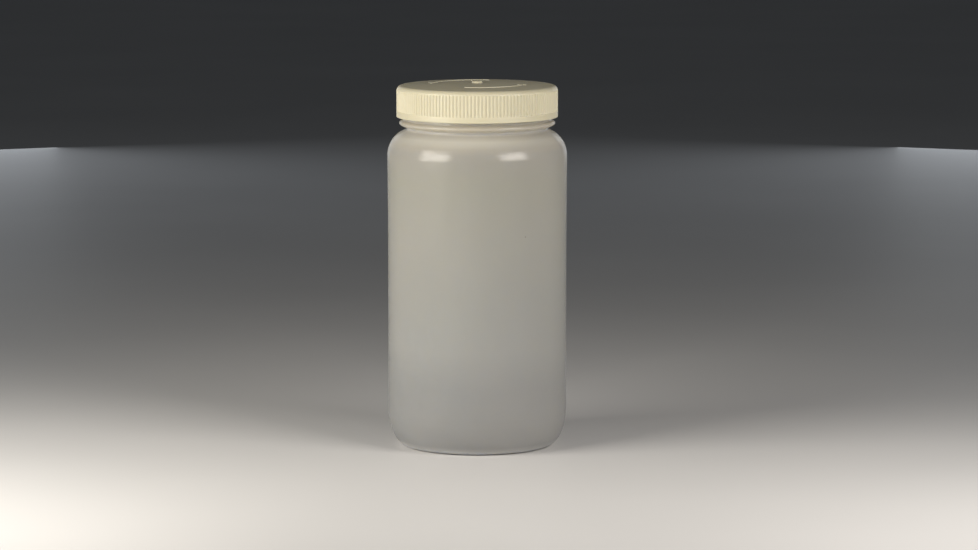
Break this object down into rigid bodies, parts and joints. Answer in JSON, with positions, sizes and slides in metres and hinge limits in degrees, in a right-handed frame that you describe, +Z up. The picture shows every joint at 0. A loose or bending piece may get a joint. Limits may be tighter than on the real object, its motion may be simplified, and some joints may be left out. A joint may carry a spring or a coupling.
{
  "type": "reagent bottle",
  "caption": "Wide-mouth translucent plastic reagent bottle with round shoulder, recessed base, and an ivory ribbed screw cap with a foam sealing liner.",
  "frame": {"origin": "on the bottle's axis, in the plane of its resting ring", "axes": "+Z up along the bottle's axis, through the cap; -Y towards the viewer"},
  "size_m": [0.1166, 0.1166, 0.2372],
  "materials": {
    "bottle_plastic": "satin",
    "cap_plastic": "satin",
    "liner_foam": "matte"
  },
  "bodies": {
    "bottle": {"bottle": "bottle_plastic"},
    "liner": {"cap_liner": "liner_foam"},
    "cap": {"screw_cap": "cap_plastic"}
  },
  "joints": [
    {"name": "cap_lift", "type": "slide", "parent": "bottle", "child": "liner", "axis": [0, 0, 1], "range_m": [0, 0.0255]},
    {"name": "cap_turn", "type": "hinge", "parent": "liner", "child": "cap", "pos_m": [0, 0, 0.2243], "axis": [0, 0, 1], "range_deg": [0, 1800]}
  ],
  "couplings": [
    {"joint": "cap_lift", "follows": "cap_turn", "m_per_rad": 0.00080851}
  ]
}
